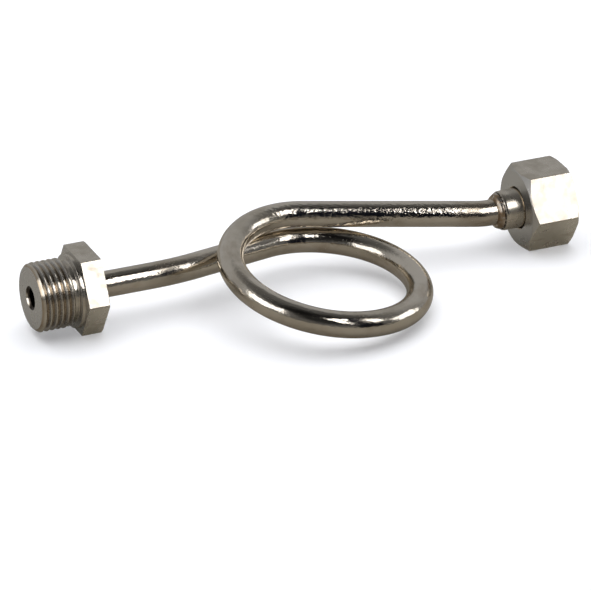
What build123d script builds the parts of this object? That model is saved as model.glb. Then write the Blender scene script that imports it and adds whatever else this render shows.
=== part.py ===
"""Pressure gauge siphon: a coiled pigtail tube between a threaded hex nipple and a swivelling union nut.

The fittings share one axis, +X, from the nipple's end face (x = 0) to the mouth of the nut. The siphon
lies on a table at z = -across_flats / 2, on one flat of each hexagon, with its coil just over the table.
All lengths are millimetres and all angles degrees.
"""

import os
from math import cos, pi, radians, sin, tan

from build123d import *

# ---- Driving dimensions ------------------------------------------------------------------------------

# G 1/2 parallel pipe thread, male on the nipple and female in the nut, here at its bounding diameters
thread_major_d = 20.955
thread_minor_d = 18.631

# Hexagon of the nipple and of the nut, and how deep the cones at its ends cut into its corners
across_flats = 24.0
hex_chamfer_angle = 30.0
hex_margin = 0.5
nipple_back_chamfer = 1.15
nut_back_chamfer = 2.35
nut_front_chamfer = 1.65

# Tube, and the sockets that it is brazed into
tube_od = 8.0
tube_wall = 1.0
socket_clearance = 0.05
socket_depth = 7.0

# Nipple, from its end face towards the coil
thread_chamfer = 1.05
thread_length = 10.15
undercut_depth = 0.1
undercut_length = 2.05
washer_face_inset = 0.7
washer_face_length = 1.2
nipple_hex_length = 6.6
bore_chamfer = 0.4

# Coil: a turn and a bit, clockwise and rising, wrapped by a polygon whose sides it touches
coil_radius = 28.3
coil_pitch = 9.45
coil_centre_x = 87.2
coil_offset_y = -18.3
coil_tilt_across = 7.1
coil_tilt_along = -4.5
coil_corners = 8
arc_share = 0.99
table_gap = 1.6

# Legs that join the coil to the fittings, at their angles to the fittings' axis seen from above
entry_angle = 15.1
entry_bend_radius = 60.0
exit_angle = 9.75
exit_bend_radius = 23.3

# Nozzle: the collar on the tube's end and the flange that keeps the nut on it
collar_d = 12.2
collar_length = 9.25
collar_rounding = 1.2
flange_clearance = 0.3
flange_thickness = 2.5

# Flat gasket on the nozzle's face
gasket_thickness = 1.5
gasket_bore_clearance = 1.0

# Union nut, which turns on the collar
nut_length = 15.2
nut_back_wall = 2.6
nut_hole_clearance = 0.35
nut_run_gap = 0.25
nut_relief_depth = 0.3
nut_relief_clearance = 0.25
nut_mouth_chamfer = 1.1

# Brazed joints where the tube enters the nipple and the nozzle
nipple_braze_leg = 1.0
nozzle_braze_length = 3.0
nozzle_braze_height = 1.5
nipple_braze_bulge = -0.25
nozzle_braze_bulge = 0.45

# ---- Sizes and places that follow from them ----------------------------------------------------------

thread_major_r = thread_major_d / 2
thread_minor_r = thread_minor_d / 2
tube_r = tube_od / 2
bore_r = tube_r - tube_wall
socket_r = tube_r + socket_clearance
collar_r = collar_d / 2
flat_r = across_flats / 2
hex_corner_r = flat_r / cos(radians(30))
table_z = -flat_r

undercut_r = thread_minor_r - undercut_depth
washer_face_r = flat_r - washer_face_inset
undercut_end_x = thread_length + undercut_length
nipple_hex_x = undercut_end_x + washer_face_length
nipple_back_x = nipple_hex_x + nipple_hex_length
tube_start_x = nipple_back_x - socket_depth


def leg_corner_x(angle, side):
    """Where a leg that leaves the coil on a tangent at this angle meets the fittings' axis."""
    reach = (coil_radius + coil_offset_y * cos(radians(angle))) / sin(radians(angle))
    return coil_centre_x + side * reach


entry_corner_x = leg_corner_x(entry_angle, -1)
exit_corner_x = leg_corner_x(exit_angle, 1)
exit_bend_end_x = exit_corner_x + exit_bend_radius * tan(radians(exit_angle / 2))

# The bead on the tube starts where its last bend ends, and the nozzle follows the bead
nozzle_back_x = exit_bend_end_x + nozzle_braze_length
tube_end_x = nozzle_back_x + socket_depth
flange_r = thread_minor_r - flange_clearance
flange_back_x = nozzle_back_x + collar_length
flange_face_x = flange_back_x + flange_thickness
gasket_bore_r = bore_r + gasket_bore_clearance
gasket_face_x = flange_face_x + gasket_thickness

nut_hole_r = collar_r + nut_hole_clearance
nut_relief_r = thread_major_r + nut_relief_depth
nut_shoulder_x = flange_back_x - nut_run_gap
nut_back_x = nut_shoulder_x - nut_back_wall
nut_mouth_x = nut_back_x + nut_length
nut_thread_x = gasket_face_x + nut_relief_clearance


# ---- Shared operations -------------------------------------------------------------------------------


def turned_profile(*corners):
    """The closed profile through these (x, radius) corners, to revolve about the fittings' axis."""
    with BuildSketch(Plane.XY) as profile:
        with BuildLine():
            Polyline(*corners, close=True)
        make_face()
    return profile.sketch


def hexagon_envelope(start_x, end_x, start_chamfer, end_chamfer):
    """The turned outline that takes a hexagon's corners off in a cone at each end."""
    fall = tan(radians(hex_chamfer_angle))
    return turned_profile(
        (start_x, 0),
        (start_x, hex_corner_r - start_chamfer),
        (start_x + (start_chamfer + hex_margin) * fall, hex_corner_r + hex_margin),
        (end_x - (end_chamfer + hex_margin) * fall, hex_corner_r + hex_margin),
        (end_x, hex_corner_r - end_chamfer),
        (end_x, 0),
    )


def braze_profile(face_x, run, rise, bulge):
    """A bead on the tube against a face: it runs out along x, and bulges, or sinks where bulge is negative."""
    crest = (face_x, tube_r + rise)
    heel = (face_x, tube_r)
    toe = (face_x + run, tube_r)
    with BuildSketch(Plane.XY) as profile:
        with BuildLine():
            Polyline(toe, heel, crest)
            SagittaArc(crest, toe, bulge if run > 0 else -bulge)
        make_face()
    return profile.sketch


# ---- Route of the tube -------------------------------------------------------------------------------

turn_step = (360 + entry_angle + exit_angle) / coil_corners
corner_radius = coil_radius / cos(radians(turn_step / 2))


def coil_corner(index):
    """One corner of the polygon round the coil, with its height over the coil's own mid plane."""
    angle = radians(turn_step * (index + 0.5) - entry_angle)
    along = corner_radius * sin(angle)
    across = corner_radius * cos(angle)
    climb = coil_pitch * angle / (2 * pi)
    lean = across * tan(radians(coil_tilt_across)) + along * tan(radians(coil_tilt_along))
    return Vector(coil_centre_x + along, coil_offset_y + across, climb + lean)


def bend_radius(before, corner, after):
    """The largest arc at this corner of the coil that leaves its neighbours the same room."""
    half_turn = (corner - before).get_angle(after - corner) / 2
    shorter_side = min((corner - before).length, (after - corner).length)
    return arc_share * shorter_side / 2 / tan(radians(half_turn))


coil = [coil_corner(index) for index in range(coil_corners)]
lowest = min((low.Z + high.Z) / 2 for low, high in zip(coil, coil[1:]))
coil_lift = table_z + tube_r + table_gap - lowest
coil = [corner + Vector(0, 0, coil_lift) for corner in coil]

tube_points = [
    Vector(tube_start_x, 0, 0),
    Vector(entry_corner_x, 0, 0),
    *coil,
    Vector(exit_corner_x, 0, 0),
    Vector(tube_end_x, 0, 0),
]
coil_triples = list(zip(tube_points[1:], coil, tube_points[3:]))
bend_radii = [
    entry_bend_radius,
    *[bend_radius(*triple) for triple in coil_triples],
    exit_bend_radius,
]

# ---- Tube --------------------------------------------------------------------------------------------

with BuildPart() as siphon_tube:
    with BuildLine() as route:
        FilletPolyline(*tube_points, radius=bend_radii)
    with BuildSketch(Plane.YZ.offset(tube_start_x)):
        Circle(tube_r)
    sweep(path=route.wire())
    offset(amount=-tube_wall, openings=siphon_tube.faces().filter_by(GeomType.PLANE))
siphon_tube.part.label = "siphon_tube"

# ---- Nipple ------------------------------------------------------------------------------------------

with BuildPart() as threaded_nipple:
    with BuildSketch(Plane.YZ.offset(nipple_hex_x)):
        RegularPolygon(flat_r, side_count=6, major_radius=False)
    extrude(amount=nipple_hex_length)
    envelope = hexagon_envelope(nipple_hex_x, nipple_back_x, 0, nipple_back_chamfer)
    revolve(envelope, axis=Axis.X, mode=Mode.INTERSECT)
    shank = turned_profile(
        (0, 0),
        (0, thread_major_r - thread_chamfer),
        (thread_chamfer, thread_major_r),
        (thread_length, thread_major_r),
        (thread_length, undercut_r),
        (undercut_end_x, undercut_r),
        (undercut_end_x, washer_face_r),
        (nipple_hex_x, washer_face_r),
        (nipple_hex_x, 0),
    )
    revolve(shank, axis=Axis.X)
    passage = turned_profile(
        (0, 0),
        (0, bore_r + bore_chamfer),
        (bore_chamfer, bore_r),
        (tube_start_x, bore_r),
        (tube_start_x, socket_r),
        (nipple_back_x, socket_r),
        (nipple_back_x, 0),
    )
    revolve(passage, axis=Axis.X, mode=Mode.SUBTRACT)
threaded_nipple.part.label = "threaded_nipple"

# ---- Nozzle ------------------------------------------------------------------------------------------

with BuildPart() as union_nozzle:
    with BuildSketch(Plane.XY):
        with BuildLine():
            Polyline(
                (nozzle_back_x, socket_r),
                (nozzle_back_x, collar_r),
                (flange_back_x, collar_r),
                (flange_back_x, flange_r),
                (flange_face_x, flange_r),
                (flange_face_x, bore_r),
                (tube_end_x, bore_r),
                (tube_end_x, socket_r),
                close=True,
            )
        outline = make_face()
        fillet(outline.vertices().group_by(Axis.X)[0].sort_by(Axis.Y)[-1], collar_rounding)
    revolve(axis=Axis.X)
union_nozzle.part.label = "union_nozzle"

# ---- Gasket ------------------------------------------------------------------------------------------

with BuildPart() as sealing_gasket:
    with BuildSketch(Plane.YZ.offset(flange_face_x)):
        Circle(flange_r)
        Circle(gasket_bore_r, mode=Mode.SUBTRACT)
    extrude(amount=gasket_thickness)
sealing_gasket.part.label = "sealing_gasket"

# ---- Union nut ---------------------------------------------------------------------------------------

with BuildPart() as union_nut:
    with BuildSketch(Plane.YZ.offset(nut_back_x)):
        RegularPolygon(flat_r, side_count=6, major_radius=False)
    extrude(amount=nut_length)
    envelope = hexagon_envelope(nut_back_x, nut_mouth_x, nut_back_chamfer, nut_front_chamfer)
    revolve(envelope, axis=Axis.X, mode=Mode.INTERSECT)
    cavity = turned_profile(
        (nut_back_x, 0),
        (nut_back_x, nut_hole_r),
        (nut_shoulder_x, nut_hole_r),
        (nut_shoulder_x, nut_relief_r),
        (nut_thread_x, nut_relief_r),
        (nut_thread_x, thread_minor_r),
        (nut_mouth_x - nut_mouth_chamfer, thread_minor_r),
        (nut_mouth_x, thread_minor_r + nut_mouth_chamfer),
        (nut_mouth_x, 0),
    )
    revolve(cavity, axis=Axis.X, mode=Mode.SUBTRACT)
union_nut.part.label = "union_nut"

# ---- Brazed joints -----------------------------------------------------------------------------------

with BuildPart() as nipple_braze:
    revolve(braze_profile(nipple_back_x, nipple_braze_leg, nipple_braze_leg, nipple_braze_bulge), axis=Axis.X)
nipple_braze.part.label = "nipple_braze"

with BuildPart() as nozzle_braze:
    revolve(
        braze_profile(nozzle_back_x, -nozzle_braze_length, nozzle_braze_height, nozzle_braze_bulge),
        axis=Axis.X,
    )
nozzle_braze.part.label = "nozzle_braze"

# ---- Export ------------------------------------------------------------------------------------------

os.makedirs("parts", exist_ok=True)
pieces = [
    siphon_tube,
    threaded_nipple,
    nipple_braze,
    union_nozzle,
    nozzle_braze,
    sealing_gasket,
    union_nut,
]
for piece in pieces:
    export_step(piece.part, f"parts/{piece.part.label}.step")

section = pi * (tube_r**2 - bore_r**2)
length = route.wire().length
print(f"tube: {length:.1f} mm long, {siphon_tube.part.volume / (section * length):.4f} of its true volume")
print("bend radii:", ", ".join(f"{radius:.1f}" for radius in bend_radii))
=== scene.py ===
"""Pressure gauge siphon: its pieces as they look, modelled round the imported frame.

+X runs along the fittings from the nipple's end face to the mouth of the union nut, and the table
is at z = -12 mm. Sizes are in millimetres and turned into metres where a mesh is made.
"""

from math import atan2, ceil, cos, hypot, pi, radians, sin, sqrt, tan

import bpy
import numpy as np
from mathutils import Matrix, Quaternion, Vector, noise


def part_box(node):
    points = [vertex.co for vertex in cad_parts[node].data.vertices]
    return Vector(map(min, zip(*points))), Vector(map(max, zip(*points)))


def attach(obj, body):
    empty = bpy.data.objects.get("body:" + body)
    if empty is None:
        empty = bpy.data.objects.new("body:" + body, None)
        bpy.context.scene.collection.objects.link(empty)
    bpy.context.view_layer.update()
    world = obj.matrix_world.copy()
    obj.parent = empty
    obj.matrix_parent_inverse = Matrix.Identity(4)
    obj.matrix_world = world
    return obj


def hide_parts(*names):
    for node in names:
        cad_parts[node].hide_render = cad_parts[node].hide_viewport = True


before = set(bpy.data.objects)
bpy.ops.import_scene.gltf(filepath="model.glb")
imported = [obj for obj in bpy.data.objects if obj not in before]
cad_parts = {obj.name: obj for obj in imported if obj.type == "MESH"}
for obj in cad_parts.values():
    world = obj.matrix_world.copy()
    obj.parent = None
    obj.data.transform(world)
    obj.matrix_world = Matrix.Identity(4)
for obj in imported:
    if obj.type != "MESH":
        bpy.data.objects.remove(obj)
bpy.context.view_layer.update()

MM = 0.001

# ---- Sizes of the real piece, in millimetres -----------------------------------------------------

# G 1/2 pipe thread of rounded 55 degree form
PITCH = 1.814
MAJOR_R = 20.955 / 2
MINOR_R = 18.631 / 2
SHARP_HEIGHT = 0.960491 * PITCH
ROUNDING_R = 0.137329 * PITCH
FLANK_ANGLE = 27.5
CREST_X = 2.204
CREST_ANGLE = 68.0

# Hexagons of 24 mm across flats, which lie on the table
FLAT_R = 12.0
CORNER_R = FLAT_R / cos(radians(30))
CONE_FALL = tan(radians(30))
TABLE_Z = -FLAT_R
BROKEN_EDGE_R = 0.2

# Nipple
THREAD_START_X = 0.1
THREAD_CHAMFER = 1.05
THREAD_END_X = 10.15
CREST_WEAR = 0.02
UNDERCUT_R = MINOR_R - 0.1
SHOULDER_X = 12.2
WASHER_FACE_R = 11.3
NIPPLE_HEX_X = 13.4
NIPPLE_BACK_X = 20.0
NIPPLE_BACK_CHAMFER = 0.5
SOCKET_FLOOR_X = 13.0
BORE_CHAMFER, BORE_CHAMFER_DEPTH = 0.7, 0.8

# Tube
TUBE_R = 4.0
BORE_R = 3.0
SOCKET_R = TUBE_R + 0.05

# Coil and the two legs
COIL_RADIUS = 28.3
COIL_PITCH = 9.45
COIL_CENTRE = (87.2, -18.3)
TILT_ACROSS = 7.1
TILT_ALONG = -4.5
CORNERS = 8
ARC_SHARE = 0.99
TABLE_GAP = 1.6
ENTRY_ANGLE, ENTRY_BEND_R = 15.1, 60.0
EXIT_ANGLE, EXIT_BEND_R = 9.75, 23.3

# Nozzle and gasket
NOZZLE_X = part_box("union_nozzle")[0].x / MM
TUBE_END_X = NOZZLE_X + 7
COLLAR_R = 6.1
COLLAR_LENGTH = 9.25
COLLAR_ROUNDING = 1.2
FLANGE_R = MINOR_R - 0.3
FLANGE_THICKNESS = 2.5
GASKET_THICKNESS = 1.5
GASKET_BORE_R = BORE_R + 1.0
GASKET_RIM_R = 0.25
FLANGE_X = NOZZLE_X + COLLAR_LENGTH
FLANGE_FACE_X = FLANGE_X + FLANGE_THICKNESS
GASKET_FACE_X = FLANGE_FACE_X + GASKET_THICKNESS

# Nut
NUT_BACK_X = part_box("union_nut")[0].x / MM
NUT_MOUTH_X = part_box("union_nut")[1].x / MM
NUT_BACK_WALL = 2.6
NUT_BACK_CHAMFER, NUT_FRONT_CHAMFER = 2.35, 1.4
NUT_MOUTH_CHAMFER = 1.1
NUT_HOLE_R = COLLAR_R + 0.35
NUT_SHOULDER_X = NUT_BACK_X + NUT_BACK_WALL
NUT_RELIEF_R = MAJOR_R + 0.3
NUT_THREAD_X = GASKET_FACE_X + 0.25

# Meshes
TURNED_STEPS, FINE_TURNED_STEPS, THREADED_STEPS = 128, 144, 180
MERGE_GAP = 0.002


# ---- Modelling steps -----------------------------------------------------------------------------


def deselect_everything():
    """Nothing stays selected, so that the next operator acts on the new piece alone."""
    bpy.ops.object.select_all(action="DESELECT")


def pick(piece):
    """Makes one piece the only selected and the active one."""
    deselect_everything()
    piece.select_set(True)
    bpy.context.view_layer.objects.active = piece


def apply_modifier(piece, kind, **settings):
    """Adds a modifier to the piece and applies it at once."""
    pick(piece)
    modifier = piece.modifiers.new(kind.title(), kind)
    for setting, value in settings.items():
        setattr(modifier, setting, value)
    bpy.ops.object.modifier_apply(modifier=modifier.name)
    return piece


def cut(piece, tool, operation="DIFFERENCE"):
    """Cuts the piece with a tool body, joins them or keeps what they share; the tool goes away."""
    apply_modifier(piece, "BOOLEAN", object=tool, operation=operation, solver="EXACT")
    bpy.data.objects.remove(tool)
    return piece


def first_corner(name, x, radius):
    """A new mesh that is one point over the fittings' axis, open in edit mode."""
    deselect_everything()
    bpy.ops.mesh.primitive_plane_add(size=MM)
    bpy.context.object.name = name
    bpy.ops.object.mode_set(mode="EDIT")
    bpy.ops.mesh.select_all(action="SELECT")
    bpy.ops.mesh.merge(type="CENTER")
    bpy.ops.transform.translate(value=(x * MM, 0, radius * MM))
    return bpy.context.object


def close_up():
    """Joins the points that meet, turns the faces outwards and leaves edit mode."""
    bpy.ops.mesh.select_all(action="SELECT")
    bpy.ops.mesh.remove_doubles(threshold=MERGE_GAP * MM)
    bpy.ops.mesh.normals_make_consistent(inside=False)
    bpy.ops.object.mode_set(mode="OBJECT")


def turned(name, profile, segments=96):
    """A body turned about the fittings' axis from its closed profile of (x, radius) corners."""
    body = first_corner(name, *profile[0])
    closed = [*profile, profile[0]]
    for (x, radius), (next_x, next_radius) in zip(closed, closed[1:]):
        step = ((next_x - x) * MM, 0, (next_radius - radius) * MM)
        bpy.ops.mesh.extrude_region_move(TRANSFORM_OT_translate={"value": step})
    bpy.ops.mesh.select_all(action="SELECT")
    bpy.ops.mesh.spin(steps=segments, angle=2 * pi, center=(0, 0, 0), axis=(1, 0, 0))
    close_up()
    return body


def arc(centre, radius, start, end, steps):
    """Corners of a profile's rounding, about a centre, from one angle to another in degrees."""
    turns = [radians(start + (end - start) * step / steps) for step in range(steps + 1)]
    return [(centre[0] + radius * cos(turn), centre[1] + radius * sin(turn)) for turn in turns]


def hexagon(name, start, end, start_chamfer, end_chamfer, edge=0.14):
    """A length of hexagon bar with its corners turned off at each end and its edges broken."""
    deselect_everything()
    middle = (start + end) / 2 * MM
    bpy.ops.mesh.primitive_cylinder_add(
        vertices=6,
        radius=CORNER_R * MM,
        depth=(end - start) * MM,
        location=(middle, 0, 0),
        rotation=(0, pi / 2, 0),
    )
    bar = bpy.context.object
    bar.name = name
    bpy.ops.object.transform_apply(location=True, rotation=True, scale=True)
    clear, sliver = 0.5, 0.001
    outline = [
        (start - sliver, 0),
        (start - sliver, CORNER_R - start_chamfer),
        (start + (start_chamfer + clear) * CONE_FALL, CORNER_R + clear),
        (end - (end_chamfer + clear) * CONE_FALL, CORNER_R + clear),
        (end + sliver, CORNER_R - end_chamfer),
        (end + sliver, 0),
    ]
    cut(bar, turned("cone_tool", outline, FINE_TURNED_STEPS), "INTERSECT")
    return apply_modifier(
        bar,
        "BEVEL",
        width=edge * MM,
        segments=2,
        limit_method="ANGLE",
        angle_limit=radians(20),
        use_clamp_overlap=True,
    )


def smooth(piece, angle):
    """Smooth shading that keeps hard edges and lets the flats rule the normals next to them."""
    pick(piece)
    bpy.ops.object.shade_smooth_by_angle(angle=radians(angle))
    return apply_modifier(piece, "WEIGHTED_NORMAL", mode="FACE_AREA", keep_sharp=True)


def thread_depth(along):
    """How far the rounded thread's surface lies under its crest, at a distance along the axis."""
    off_crest = abs((along + PITCH / 2) % PITCH - PITCH / 2)
    rounded = ROUNDING_R * cos(radians(FLANK_ANGLE))
    off_root = PITCH / 2 - off_crest
    if off_crest < rounded:
        return ROUNDING_R - sqrt(ROUNDING_R**2 - off_crest**2)
    if off_root < rounded:
        return MAJOR_R - MINOR_R - ROUNDING_R + sqrt(ROUNDING_R**2 - off_root**2)
    return SHARP_HEIGHT * off_crest / (PITCH / 2) - SHARP_HEIGHT / 6


def worn_depth(along, wear):
    """The thread's depth where its crests have worn a little and its roots are as deep as new."""
    full = MAJOR_R - MINOR_R
    return max(0.0, thread_depth(along) - wear) * full / (full - wear)


def wind_thread(piece, start, end, limits, phase=0.0, wear=0.0, fade=0.01):
    """Moves the turned rings between start and end onto a right-hand thread, inside its limits.

    Near start the thread is flat for a short way, and then deepens over the fade's length.
    """
    flat, slack = 0.3, 0.001
    for vertex in piece.data.vertices:
        x, y, z = vertex.co / MM
        radius = hypot(y, z)
        if start - slack <= x <= end + slack and radius > MINOR_R - 1:
            share = min(1, max(0, x - start - flat) / fade)
            along = x - phase - PITCH * atan2(z, y) / (2 * pi)
            grown = limits(x, MAJOR_R - worn_depth(along, wear) * share) / radius
            vertex.co = (x * MM, y * grown * MM, z * grown * MM)
    piece.data.update()


def thread_rings(start, end, radius, steps_per_pitch=18):
    """Corners of a profile along a thread, close enough together to carry its form."""
    count = ceil((end - start) / PITCH * steps_per_pitch)
    return [(start + (end - start) * step / count, radius) for step in range(count + 1)]


# ---- Route of the tube ---------------------------------------------------------------------------


def coil_corners():
    """Corners of the polygon that wraps the coil, clockwise and rising, over the table."""
    step = radians((360 + ENTRY_ANGLE + EXIT_ANGLE) / CORNERS)
    corner_radius = COIL_RADIUS / cos(step / 2)
    corners = []
    for index in range(CORNERS):
        angle = step * (index + 0.5) - radians(ENTRY_ANGLE)
        along, across = corner_radius * sin(angle), corner_radius * cos(angle)
        lean = across * tan(radians(TILT_ACROSS)) + along * tan(radians(TILT_ALONG))
        height = COIL_PITCH * angle / (2 * pi) + lean
        corners.append(Vector((COIL_CENTRE[0] + along, COIL_CENTRE[1] + across, height)))
    lowest = min((low.z + high.z) / 2 for low, high in zip(corners, corners[1:]))
    lift = Vector((0, 0, TABLE_Z + TUBE_R + TABLE_GAP - lowest))
    return [corner + lift for corner in corners]


def leg_corner(angle, side):
    """Where a leg that leaves the coil on a tangent meets the fittings' axis."""
    reach = (COIL_RADIUS + COIL_CENTRE[1] * cos(radians(angle))) / sin(radians(angle))
    return Vector((COIL_CENTRE[0] + side * reach, 0, 0))


def tube_bends():
    """Each bend as (stop before, corner, stop after, radius, half its turn), and the two ends."""
    ends = Vector((SOCKET_FLOOR_X, 0, 0)), Vector((TUBE_END_X, 0, 0))
    corners = [leg_corner(ENTRY_ANGLE, -1), *coil_corners(), leg_corner(EXIT_ANGLE, 1)]
    stops = [ends[0], *corners, ends[1]]
    bends = []
    for index, (before, corner, after) in enumerate(zip(stops, corners, stops[2:])):
        half = (corner - before).angle(after - corner) / 2
        if index == 0:
            radius = ENTRY_BEND_R
        elif index == len(corners) - 1:
            radius = EXIT_BEND_R
        else:
            reach = min((corner - before).length, (after - corner).length) / 2
            radius = ARC_SHARE * reach / tan(half)
        bends.append((before, corner, after, radius, half))
    return bends, ends


# ---- Pieces --------------------------------------------------------------------------------------


def bend_tube(segments=64, finest=radians(2), longest=4):
    """The drawn tube: one ring, carried along the straights and swung round each bend."""
    bends, (start, end) = tube_bends()
    deselect_everything()
    bpy.ops.mesh.primitive_circle_add(
        vertices=segments,
        radius=TUBE_R * MM,
        rotation=(0, pi / 2, 0),
    )
    tube = bpy.context.object
    tube.name = "bent_tube"
    bpy.ops.object.transform_apply(location=True, rotation=True, scale=True)
    bpy.ops.object.mode_set(mode="EDIT")
    bpy.ops.mesh.select_all(action="SELECT")
    bpy.ops.transform.translate(value=start * MM)
    here = start
    centreline = [(start, Vector((1, 0, 0)))]

    def carry_on(to):
        """Draws the tube straight on to a point."""
        nonlocal here
        strides = max(1, round((to - here).length / longest))
        stride = (to - here) / strides
        for _ in range(strides):
            bpy.ops.mesh.extrude_region_move(TRANSFORM_OT_translate={"value": stride * MM})
            here = here + stride
            centreline.append((here, stride.normalized()))

    for before, corner, after, radius, half in bends:
        heading, leaving = (corner - before).normalized(), (after - corner).normalized()
        carry_on(corner - heading * radius * tan(half))
        axis = heading.cross(leaving).normalized()
        middle = here + axis.cross(heading) * radius
        steps = ceil(2 * half / finest)
        bpy.ops.mesh.spin(steps=steps, angle=-2 * half, center=middle * MM, axis=axis)
        for step in range(1, steps + 1):
            turn = Quaternion(axis, 2 * half * step / steps)
            centreline.append((middle + turn @ (here - middle), turn @ heading))
        here = centreline[-1][0]
    carry_on(end)
    close_up()
    wall = (TUBE_R - BORE_R) * MM
    apply_modifier(tube, "SOLIDIFY", thickness=wall, offset=-1, use_even_offset=True)
    note_straight_place(tube, centreline)
    return smooth(tube, 50)


def note_straight_place(tube, centreline):
    """Gives each point its place in the tube before it was bent, which the drawn finish follows."""
    points = np.array([point for point, _ in centreline]) * MM
    headings = [heading for _, heading in centreline]
    up = Vector((0, 0, 1))
    ups = [up]
    for last, heading in zip(headings, headings[1:]):
        up = last.rotation_difference(heading) @ up
        ups.append(up)
    ups = np.array(ups)
    sides = np.cross(np.array(headings), ups)
    runs = np.concatenate([[0], np.cumsum(np.linalg.norm(np.diff(points, axis=0), axis=1))])
    places = np.empty(len(tube.data.vertices) * 3)
    tube.data.vertices.foreach_get("co", places)
    places = places.reshape(-1, 3)
    straight = np.empty_like(places)
    for index, place in enumerate(places):
        ring = int(np.argmin(((points - place) ** 2).sum(axis=1)))
        offset = place - points[ring]
        straight[index] = (runs[ring], offset @ sides[ring], offset @ ups[ring])
    attribute = tube.data.attributes.new("straight_place", "FLOAT_VECTOR", "POINT")
    attribute.data.foreach_set("vector", straight.astype(np.float32).ravel())


def turn_nipple():
    """The nipple: bored and threaded shank, thin collar and hexagon, all of one piece."""
    thread_stop = THREAD_END_X + 0.25
    rim_r, rim_x = MAJOR_R - THREAD_CHAMFER, 0.05
    neck_r, corner_r, edge_r = 0.5, 0.35, BROKEN_EDGE_R
    overlap, lip = 0.3, 0.2
    shank = [
        (0.0, BORE_R + BORE_CHAMFER),
        (0.0, rim_r - 0.08),
        (rim_x, rim_r),
        *thread_rings(THREAD_START_X, thread_stop, MAJOR_R),
        *arc((thread_stop + neck_r, UNDERCUT_R + neck_r), neck_r, 200, 270, 4),
        *arc((SHOULDER_X - corner_r, UNDERCUT_R + corner_r), corner_r, 270, 360, 4),
        *arc((SHOULDER_X + edge_r, WASHER_FACE_R - edge_r), edge_r, 180, 90, 4),
        (NIPPLE_HEX_X + overlap, WASHER_FACE_R),
        (NIPPLE_HEX_X + overlap, SOCKET_R + overlap),
        (SOCKET_FLOOR_X + lip, SOCKET_R + overlap),
        (SOCKET_FLOOR_X + lip, SOCKET_R),
        (SOCKET_FLOOR_X, SOCKET_R),
        (SOCKET_FLOOR_X, BORE_R),
        (BORE_CHAMFER_DEPTH, BORE_R),
    ]
    nipple = turned("threaded_nipple_turned", shank, THREADED_STEPS)

    def inside_turning(x, radius):
        """The thread ends in the chamfer at the face and in a steep cone at the undercut."""
        cone_x, cone_slope = 10.0, 2.5
        chamfer, cone = rim_r + x, MAJOR_R + (cone_x - x) * cone_slope
        return max(UNDERCUT_R - 0.05, min(radius, chamfer, cone))

    phase = CREST_X - PITCH * CREST_ANGLE / 360
    fade = THREAD_CHAMFER - THREAD_START_X
    wind_thread(nipple, THREAD_START_X, thread_stop, inside_turning, phase, CREST_WEAR, fade)
    chamfers = 0.0, NIPPLE_BACK_CHAMFER
    hex_part = hexagon("hexagon_tool", NIPPLE_HEX_X, NIPPLE_BACK_X, *chamfers, edge_r)
    before, past = NIPPLE_HEX_X - 1, NIPPLE_BACK_X + 1
    socket = [(before, 0), (before, SOCKET_R), (past, SOCKET_R), (past, 0)]
    cut(hex_part, turned("socket_tool", socket, THREADED_STEPS))
    cut(nipple, hex_part, "UNION")
    return smooth(nipple, 30)


def turn_nozzle():
    """The nozzle: a collar on the tube's end, and the flange that holds the nut."""
    rounding_centre = (NOZZLE_X + COLLAR_ROUNDING, COLLAR_R - COLLAR_ROUNDING)
    fillet_r, edge_r = 0.3, BROKEN_EDGE_R
    profile = [
        (NOZZLE_X, SOCKET_R),
        *arc(rounding_centre, COLLAR_ROUNDING, 180, 90, 10),
        *arc((FLANGE_X - fillet_r, COLLAR_R + fillet_r), fillet_r, 270, 360, 4),
        *arc((FLANGE_X + edge_r, FLANGE_R - edge_r), edge_r, 180, 90, 4),
        *arc((FLANGE_FACE_X - edge_r, FLANGE_R - edge_r), edge_r, 90, 0, 4),
        (FLANGE_FACE_X, BORE_R),
        (TUBE_END_X, BORE_R),
        (TUBE_END_X, SOCKET_R),
    ]
    return smooth(turned("union_nozzle_turned", profile, TURNED_STEPS), 30)


def cut_gasket():
    """The flat ring between the nozzle's face and the gauge's stem, with soft rims."""
    rim = GASKET_RIM_R
    profile = [
        *arc((FLANGE_FACE_X + rim, GASKET_BORE_R + rim), rim, 270, 180, 4),
        *arc((FLANGE_FACE_X + rim, FLANGE_R - rim), rim, 180, 90, 4),
        *arc((GASKET_FACE_X - rim, FLANGE_R - rim), rim, 90, 0, 4),
        *arc((GASKET_FACE_X - rim, GASKET_BORE_R + rim), rim, 360, 270, 4),
    ]
    return smooth(turned("sealing_gasket_cut", profile, TURNED_STEPS), 30)


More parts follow.
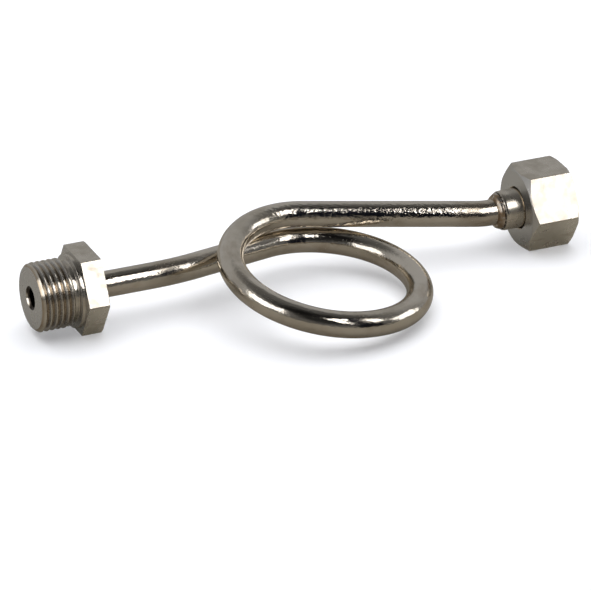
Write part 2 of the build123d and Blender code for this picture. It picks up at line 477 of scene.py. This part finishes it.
def turn_nut():
    """The union nut: hexagon, back hole, relief and inside thread."""
    chamfers = NUT_BACK_CHAMFER, NUT_FRONT_CHAMFER
    nut = hexagon("union_nut_turned", NUT_BACK_X, NUT_MOUTH_X, *chamfers)
    thread_stop = NUT_MOUTH_X + 0.2
    edge, corner = 0.25, 0.3
    cavity = [
        (NUT_BACK_X - 1, 0),
        (NUT_BACK_X - 1, NUT_HOLE_R + edge + 1),
        (NUT_BACK_X + edge, NUT_HOLE_R),
        (NUT_SHOULDER_X, NUT_HOLE_R),
        (NUT_SHOULDER_X, NUT_RELIEF_R - corner),
        (NUT_SHOULDER_X + corner, NUT_RELIEF_R),
        *thread_rings(NUT_THREAD_X, thread_stop, NUT_RELIEF_R),
        (thread_stop, 0),
    ]
    tool = turned("cavity_tool", cavity, FINE_TURNED_STEPS)

    def inside_turning(x, radius):
        """The thread ends in the relief's cone and in the cone at the mouth."""
        relief_slope = 1.5
        relief = NUT_RELIEF_R - (x - NUT_THREAD_X) * relief_slope
        mouth = MINOR_R + NUT_MOUTH_CHAMFER - (NUT_MOUTH_X - x)
        return max(radius, relief, mouth)

    wind_thread(tool, NUT_THREAD_X, thread_stop, inside_turning)
    cut(nut, tool)
    return smooth(nut, 30)


def lay_bead(name, face_x, run, rise, bulge, seed):
    """A bead of brazing metal on the tube against a face, uneven as it froze."""
    toe, crest = Vector((face_x + run, TUBE_R)), Vector((face_x, TUBE_R + rise))
    across = (crest - toe).orthogonal().normalized()
    if across.y < 0:
        across = -across
    steps = 14
    skin = []
    for step in range(steps + 1):
        share = step / steps
        place = toe.lerp(crest, share) + across * bulge * 4 * share * (1 - share)
        skin.append((place.x, place.y))
    under = TUBE_R - 0.02
    bead = turned(name, [*skin, (face_x, under), (face_x + run, under)])
    unevenness, thin, thick = 0.3, 0.05, 0.8
    for vertex in bead.data.vertices:
        x, y, z = vertex.co / MM
        radius = hypot(y, z)
        height = radius - TUBE_R
        if height > thin:
            ripple = noise.noise(Vector((x * 0.7, y * 0.45, z * 0.45 + seed)))
            ripple += 0.4 * noise.noise(Vector((x * 1.6, y * 1.1, z * 1.1 - seed)))
            grown = radius + min(height, thick) * unevenness * (ripple - 0.25)
            vertex.co = (x * MM, y / radius * grown * MM, z / radius * grown * MM)
    return smooth(bead, 50)


# ---- Finishes ------------------------------------------------------------------------------------


class Level:
    """A value in a finish: operators on it add the Math nodes that they stand for."""

    def __init__(self, finish, socket):
        self.finish, self.socket = finish, socket

    def math(self, operation, *others):
        """What one Math node makes of this level and others."""
        values = dict(enumerate([self, *others]))
        return self.finish.node("ShaderNodeMath", {"operation": operation}, values)

    def __add__(self, other):
        return self.math("ADD", other)

    def __sub__(self, other):
        return self.math("SUBTRACT", other)

    def __mul__(self, other):
        return self.math("MULTIPLY", other)

    def __rsub__(self, other):
        return self.finish.node("ShaderNodeMath", {"operation": "SUBTRACT"}, {0: other, 1: self})

    __radd__ = __add__
    __rmul__ = __mul__

    def clipped(self):
        """The level held between 0 and 1."""
        return self.math("MAXIMUM", 0.0).math("MINIMUM", 1.0)

    def eased(self, low, high):
        """0 below low and 1 above high, with a soft step between them."""
        settings = {"interpolation_type": "SMOOTHSTEP"}
        inputs = {"Value": self, "From Min": low, "From Max": high}
        return self.finish.node("ShaderNodeMapRange", settings, inputs)

    def past(self, low, high):
        """0 before the place low and 1 after high, both in millimetres."""
        return self.eased(low * MM, high * MM)


class Finish:
    """A node tree, for a material or for the studio's surroundings."""

    def __init__(self, owner):
        owner.use_nodes = True
        self.owner, self.tree = owner, owner.node_tree
        self.tree.nodes.clear()

    def node(self, kind, settings=None, inputs=None, output=0):
        """Adds a node, sets it, fills or links its sockets and gives back one of its outputs."""
        node = self.tree.nodes.new(kind)
        for setting, value in (settings or {}).items():
            if setting == "stops":
                ramp = node.color_ramp
                while len(ramp.elements) < len(value):
                    ramp.elements.new(0.5)
                for element, (place, colour) in zip(ramp.elements, value):
                    element.position, element.color = place, colour
            else:
                setattr(node, setting, value)
        for socket, value in (inputs or {}).items():
            if isinstance(value, Level):
                self.tree.links.new(value.socket, node.inputs[socket])
            else:
                node.inputs[socket].default_value = value
        return Level(self, node.outputs[output]) if node.outputs else None

    def place(self):
        """Where a point is on the object, in metres."""
        return self.node("ShaderNodeTexCoord", output="Object")

    def part_of(self, vector, axis):
        """One of a vector's three numbers."""
        return self.node("ShaderNodeSeparateXYZ", inputs={0: vector}, output=axis)

    def stretched(self, vector, scale):
        """A place scaled on each axis, in features per metre."""
        return self.node("ShaderNodeVectorMath", {"operation": "MULTIPLY"}, {0: vector, 1: scale})

    def clouds(self, vector, scale=1.0, detail=2.0, roughness=0.5):
        """Even random variation between about 0.2 and 0.8."""
        inputs = {"Vector": vector, "Scale": scale, "Detail": detail, "Roughness": roughness}
        return self.node("ShaderNodeTexNoise", inputs=inputs)

    def mixed(self, share, first, second):
        """Two colours mixed by a level."""
        settings = {"data_type": "RGBA"}
        return self.node("ShaderNodeMix", settings, {0: share, 6: first, 7: second}, output=2)

    def bumped(self, height, distance, before=None):
        """A normal that follows a height, so many metres deep, over an earlier bump if any."""
        inputs = {"Strength": 1.0, "Distance": distance, "Height": height}
        if before is not None:
            inputs["Normal"] = before
        return self.node("ShaderNodeBump", inputs=inputs)

    def metal(self, **inputs):
        """Puts a polished metal on the material's surface."""
        sockets = {name.replace("_", " "): value for name, value in inputs.items()}
        surface = self.node("ShaderNodeBsdfPrincipled", inputs={"Metallic": 1.0, **sockets})
        self.node("ShaderNodeOutputMaterial", inputs={"Surface": surface})
        return self.owner


NICKEL = (0.67, 0.61, 0.52, 1)
NICKEL_DULL = (0.53, 0.472, 0.385, 1)
NICKEL_COOL = (0.62, 0.615, 0.605, 1)
# Brighter nickel, painted light for the lower hexagon flats.
NICKEL_PAINTED_LIGHT = (0.9, 0.85, 0.74, 1)
HEAT_BROWN = (0.33, 0.235, 0.15, 1)
# Sepia for the painted shade in the thread roots.
SEPIA_ROOT_SHADE = (0.36, 0.27, 0.17, 1)
# Dark colour for pits and joints, and for the painted shade in the bores.
GRIME_AND_SHADE = (0.05, 0.04, 0.032, 1)
BRAZE = (0.56, 0.5, 0.42, 1)
BRAZE_BARE = (0.72, 0.69, 0.64, 1)
COPPER = (0.76, 0.43, 0.29, 1)
COPPER_DARK = (0.42, 0.2, 0.12, 1)


def drawn_nickel():
    """Drawn tube: bright, faintly lined along its length, stained where it was heated and bent."""
    f = Finish(bpy.data.materials.new("drawn_nickel"))
    place = f.node("ShaderNodeAttribute", {"attribute_name": "straight_place"}, output="Vector")
    run = f.part_of(place, "X")
    waves = f.clouds(f.stretched(place, (130, 360, 360)), 1, 2, 0.5)
    peel = f.clouds(f.stretched(place, (640, 1200, 1200)), 1, 2, 0.6)
    lines = f.clouds(f.stretched(place, (260, 2600, 2600)), 1, 2, 0.6)
    grain = f.clouds(place, 3800, 1, 0.5)
    pits = f.clouds(place, 1700, 2, 0.6).eased(0.67, 0.74)
    drift = f.clouds(place, 55, 3, 0.6)
    stains = f.clouds(f.stretched(place, (60, 170, 170)), 1, 4, 0.62).eased(0.5, 0.72)
    near_nipple = 1 - run.past(7, 21)
    near_nozzle = run.past(304, 319.5)
    heat = (near_nipple + near_nozzle) * (0.35 + stains * 0.75)
    colour = f.mixed(drift.eased(0.42, 0.68), NICKEL, NICKEL_DULL)
    height = f.part_of(f.place(), "Z")
    low_side = 1 - height.past(-14, 4)
    browned = (stains * (0.25 + low_side * 0.35) + heat * 0.6).clipped()
    colour = f.mixed(browned, colour, HEAT_BROWN)
    colour = f.mixed(pits * 0.75, colour, GRIME_AND_SHADE)
    rough = 0.1 + drift.eased(0.35, 0.75) * 0.1 + stains * 0.08 + pits * 0.25 + heat * 0.1
    normal = f.bumped(waves, 0.00009)
    coarse_leg = run.past(238, 252) * (1 - run.past(300, 315))
    normal = f.bumped(peel * (0.45 + coarse_leg * 0.5), 0.00014, normal)
    normal = f.bumped(lines, 0.000006, normal)
    normal = f.bumped(grain, 0.0000035, normal)
    normal = f.bumped(1 - pits, 0.00001, normal)
    return f.metal(Base_Color=colour, Roughness=rough, Normal=normal)


def machined_nickel(name, base_rough):
    """Machined fitting: tool rings on turned faces, mottled flats and a little brown underneath,
    with painted light on the lower flats and painted shade in the bores and thread roots.
    """
    ring_step, ring_depth = 0.16, 0.0012
    f = Finish(bpy.data.materials.new(name))
    place = f.place()
    x, y, z = (f.part_of(place, axis) for axis in "XYZ")
    normal_x = f.part_of(f.node("ShaderNodeTexCoord", output="Normal"), "X")
    facing = normal_x.math("ABSOLUTE").eased(0.75, 0.95)
    radius = (y * y + z * z).math("SQRT")
    face_rings = (radius * (2 * pi / (ring_step * MM))).math("SINE") * facing
    hexagonal = radius.past(11.4, 11.6) * (1 - facing)
    low_flats_painted_light = hexagonal * (1 - z.past(-0.8, 0))
    under = 1 - z.past(-12.5, 1)
    wobble = f.clouds(place, 420, 3, 0.55) * hexagonal
    scratches = f.clouds(f.stretched(place, (160, 2400, 2400)), 1, 3, 0.6)
    grain = f.clouds(place, 4200, 1, 0.5)
    mottle = f.clouds(place, 210, 4, 0.6)
    stains = f.clouds(f.stretched(place, (90, 230, 230)), 1, 4, 0.65).eased(0.52, 0.74)
    colour = f.mixed(mottle.eased(0.38, 0.7), NICKEL, NICKEL_DULL)
    # Painted light: the lower hexagon flats get a brighter colour in place of the floor light that
    # they mirror.
    colour = f.mixed(low_flats_painted_light * 0.7, colour, NICKEL_PAINTED_LIGHT)
    colour = f.mixed((stains * (0.2 + under * 0.5)).clipped(), colour, HEAT_BROWN)
    colour = f.mixed(facing, colour, NICKEL_COOL)
    on_nipple = 1 - x.past(THREAD_END_X + 0.05, THREAD_END_X + 0.45)
    in_nut = x.past(NUT_THREAD_X - 0.8, NUT_THREAD_X + 0.2)
    # Painted shade: the thread's roots are darkened sepia, as the grooves lie in shade.
    near_roots = (1 - radius.past(9.55, 10.3)) * radius.past(9.0, 9.2)
    root_shade = near_roots * (on_nipple + in_nut) * (1 - facing)
    colour = f.mixed((root_shade * 0.75).clipped(), colour, SEPIA_ROOT_SHADE)
    # Painted shade: the bore's walls and the part of its mouth's rim away from the light are
    # painted dark.
    unlit = 1 - y.past(0.8, 1.8) * (1 - z.past(-0.8, 0.8))
    bore_shade = (1 - radius.past(3.3, 3.5)) * x.past(0.2, 0.6)
    bore_rim_shade = (1 - radius.past(3.64, 3.72)) * x.past(0.01, 0.06) * unlit
    colour = f.mixed((bore_shade + bore_rim_shade).clipped(), colour, GRIME_AND_SHADE)
    seam = x.past(NOZZLE_X - 1.3, NOZZLE_X - 0.8)
    seam = seam * (1 - x.past(NOZZLE_X + 0.25, NOZZLE_X + 0.65))
    bare = f.clouds(place, 1500, 2, 0.6).eased(0.55, 0.62)
    colour = f.mixed(seam * (1 - bare), colour, GRIME_AND_SHADE)
    rough = base_rough + mottle.eased(0.3, 0.75) * 0.1 + stains * 0.08
    rough = rough + hexagonal * 0.1 + facing * 0.1
    normal = f.bumped(wobble, 0.00002)
    normal = f.bumped(scratches * hexagonal, 0.000005, normal)
    normal = f.bumped(grain * (0.3 + hexagonal * 0.7), 0.000004, normal)
    normal = f.bumped(face_rings, ring_depth * MM, normal)
    return f.metal(Base_Color=colour, Roughness=rough, Normal=normal)


def brazing_metal():
    """Brazing metal: rippled, browned by the flame, with sparkles of bare metal."""
    f = Finish(bpy.data.materials.new("brazing_metal"))
    place = f.place()
    ripples = f.clouds(place, 520, 4, 0.6)
    blotches = f.clouds(place, 300, 4, 0.65)
    bare = f.clouds(place, 900, 3, 0.6).eased(0.58, 0.68)
    colour = f.mixed(blotches.eased(0.32, 0.58), BRAZE, HEAT_BROWN)
    colour = f.mixed(bare, colour, BRAZE_BARE)
    rough = 0.3 + blotches.eased(0.35, 0.7) * 0.22 - bare * 0.12
    normal = f.bumped(ripples, 0.00012)
    return f.metal(Base_Color=colour, Roughness=rough, Normal=normal)


def soft_copper():
    """Annealed copper: dull pink with darker clouds and a fine grain."""
    f = Finish(bpy.data.materials.new("soft_copper"))
    place = f.place()
    clouds = f.clouds(place, 350, 4, 0.6)
    grain = f.clouds(place, 3500, 2, 0.5)
    colour = f.mixed(clouds.eased(0.35, 0.7), COPPER, COPPER_DARK)
    rough = 0.36 + clouds * 0.2
    return f.metal(Base_Color=colour, Roughness=rough, Normal=f.bumped(grain, 0.000006))


# ---- Studio, with its own places and sizes in metres ---------------------------------------------

SIPHON_MIDDLE = Vector((87, -16, 0)) * MM


def studio_floor():
    """A white sweep that the siphon lies on; the metal mirrors it as a dimmer grey."""
    deselect_everything()
    bpy.ops.mesh.primitive_plane_add(size=12, location=(0, 0, TABLE_Z * MM))
    floor = bpy.context.object
    floor.name = "studio_floor"
    f = Finish(bpy.data.materials.new("white_sweep"))
    white = f.node("ShaderNodeBsdfDiffuse", inputs={"Color": (0.9, 0.9, 0.9, 1)})
    dim = f.node("ShaderNodeBsdfDiffuse", inputs={"Color": (0.255, 0.238, 0.205, 1)})
    mirrored = f.node("ShaderNodeLightPath", output="Is Glossy Ray")
    seen = f.node("ShaderNodeMixShader", inputs={0: mirrored, 1: white, 2: dim})
    f.node("ShaderNodeOutputMaterial", inputs={"Surface": seen})
    floor.data.materials.append(f.owner)
    return floor


def direction(azimuth, elevation):
    """The way from the siphon to a place round it; azimuth 0 is in front, 90 is the nut's side."""
    a, e = radians(azimuth), radians(elevation)
    return Vector((sin(a) * cos(e), -cos(a) * cos(e), sin(e)))


def studio_surroundings():
    """Dim surroundings: lighter behind the siphon than in front, dark overhead, darkest ahead."""
    bpy.context.scene.world = bpy.data.worlds.new("studio")
    f = Finish(bpy.context.scene.world)
    way = f.node("ShaderNodeTexCoord", output="Generated")
    behind = f.part_of(way, "Y").eased(-0.4, 0.6)
    overhead = f.part_of(way, "Z").eased(0.7, 0.88)
    dot, toward = {"operation": "DOT_PRODUCT"}, {0: way, 1: direction(-8, 50)}
    ahead = f.node("ShaderNodeVectorMath", dot, toward, output="Value").eased(0.7, 0.93)
    level = (0.13 + behind * 0.3) * (1 - overhead * 0.66) * (1 - ahead * 0.85)
    sky = f.node("ShaderNodeBackground", inputs={"Color": (0.95, 0.97, 1.0, 1), "Strength": level})
    f.node("ShaderNodeOutputWorld", inputs={"Surface": sky})


def soft_box(name, way, distance, width, height, radiance):
    """A rectangular lamp that faces the siphon; radiance is what its face shows."""
    data = bpy.data.lights.new(name, "AREA")
    data.shape, data.size, data.size_y = "RECTANGLE", width, height
    data.energy = radiance * pi * width * height
    data.color = (0.955, 0.965, 1.0)
    lamp = bpy.data.objects.new(name, data)
    bpy.context.scene.collection.objects.link(lamp)
    lamp.location = SIPHON_MIDDLE + way * distance
    lamp.rotation_euler = (SIPHON_MIDDLE - lamp.location).to_track_quat("-Z", "Y").to_euler()
    lamp.visible_camera = False
    return lamp


def light_metal_and_floor_apart(boxes, wash, fill, pieces, floor):
    """The boxes light only metal; the wash casts the floor's shadows and the fill lightens them."""
    siphon, sweep = (bpy.data.collections.new(name) for name in ("siphon_pieces", "sweep"))
    for piece in pieces:
        siphon.objects.link(piece)
    sweep.objects.link(floor)
    for box in boxes:
        box.light_linking.receiver_collection = siphon
    wash.light_linking.blocker_collection = siphon
    fill.light_linking.blocker_collection = sweep
    wash.visible_glossy = fill.visible_glossy = False


def black_flags():
    """Two black cards in front of the coil, which show only as dark streaks in the metal."""
    y = -0.154
    upright = {"x": 0.149, "z": 0.075, "width": 0.078, "height": 0.18, "lean": 0}
    leaning = {"x": 0.207, "z": 0.255, "width": 0.062, "height": 0.25, "lean": 24}
    f = Finish(bpy.data.materials.new("black_card"))
    black = f.node("ShaderNodeBsdfDiffuse", inputs={"Color": (0.003, 0.004, 0.008, 1)})
    f.node("ShaderNodeOutputMaterial", inputs={"Surface": black})
    for flag in (upright, leaning):
        deselect_everything()
        bpy.ops.mesh.primitive_plane_add(
            size=1,
            location=(flag["x"], y, flag["z"]),
            rotation=(pi / 2, radians(flag["lean"]), 0),
        )
        card = bpy.context.object
        card.name = "black_flag"
        card.scale = (flag["width"], flag["height"], 1)
        card.data.materials.append(f.owner)
        card.visible_camera = card.visible_diffuse = False


def place_camera():
    """The camera in front and to the nipple's side, looking down on the siphon."""
    place = Vector((-0.545433, -1.432029, 0.746325))
    azimuth, elevation, roll = radians(23.78), radians(25.962), radians(-0.18)
    view = Vector((sin(azimuth) * cos(elevation), cos(azimuth) * cos(elevation), -sin(elevation)))
    level_right = Vector((cos(azimuth), -sin(azimuth), 0))
    level_down = view.cross(level_right)
    right = level_right * cos(roll) + level_down * sin(roll)
    down = level_down * cos(roll) - level_right * sin(roll)
    camera = bpy.data.objects.new("camera", bpy.data.cameras.new("camera"))
    bpy.context.scene.collection.objects.link(camera)
    turn = Matrix((right, -down, -view)).transposed().to_4x4()
    camera.matrix_world = Matrix.Translation(place) @ turn
    camera.data.lens = 351.07
    camera.data.sensor_width = 36
    camera.data.clip_start, camera.data.clip_end = 0.05, 50
    bpy.context.scene.camera = camera


# ---- Assembly ------------------------------------------------------------------------------------


def fit(piece, node, body, finish):
    """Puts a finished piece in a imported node's place, on its body and with its finish."""
    piece.data.materials.clear()
    piece.data.materials.append(finish)
    piece.data.polygons.foreach_set("material_index", [0] * len(piece.data.polygons))
    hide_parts(node)
    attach(piece, body)
    return piece


nipple_finish = machined_nickel("machined_nickel", 0.13)
nut_finish = machined_nickel("machined_nickel_nut", 0.15)
nozzle_finish = machined_nickel("machined_nickel_nozzle", 0.22)
bead_finish = brazing_metal()

nipple_bead = lay_bead("nipple_braze_bead", NIPPLE_BACK_X, 1.0, 1.0, -0.25, seed=3.7)
nozzle_bead = lay_bead("nozzle_braze_bead", NOZZLE_X, -1.5, 1.65, 0.45, seed=9.1)
pieces = [
    fit(bend_tube(), "siphon_tube", "siphon", drawn_nickel()),
    fit(turn_nipple(), "threaded_nipple", "siphon", nipple_finish),
    fit(turn_nozzle(), "union_nozzle", "siphon", nozzle_finish),
    fit(turn_nut(), "union_nut", "nut", nut_finish),
    fit(cut_gasket(), "sealing_gasket", "siphon", soft_copper()),
    fit(nipple_bead, "nipple_braze", "siphon", bead_finish),
    fit(nozzle_bead, "nozzle_braze", "siphon", bead_finish),
]

floor = studio_floor()
studio_surroundings()
lamps = [
    soft_box("front_box", direction(30, 43.6), 1.2, 0.74, 0.64, radiance=5.2),
    soft_box("left_box", direction(-80, 24), 1.2, 0.85, 0.7, radiance=2.2),
    soft_box("right_box", direction(74, 16), 1.2, 0.6, 0.5, radiance=2.2),
]
wash = soft_box("floor_wash", direction(165, 78), 1.5, 2.4, 2.4, radiance=1.9)
fill = soft_box("floor_fill", direction(165, 78), 1.5, 2.4, 2.4, radiance=0.8)
light_metal_and_floor_apart(lamps, wash, fill, pieces, floor)
black_flags()
place_camera()
bpy.context.scene.view_settings.view_transform = "Standard"
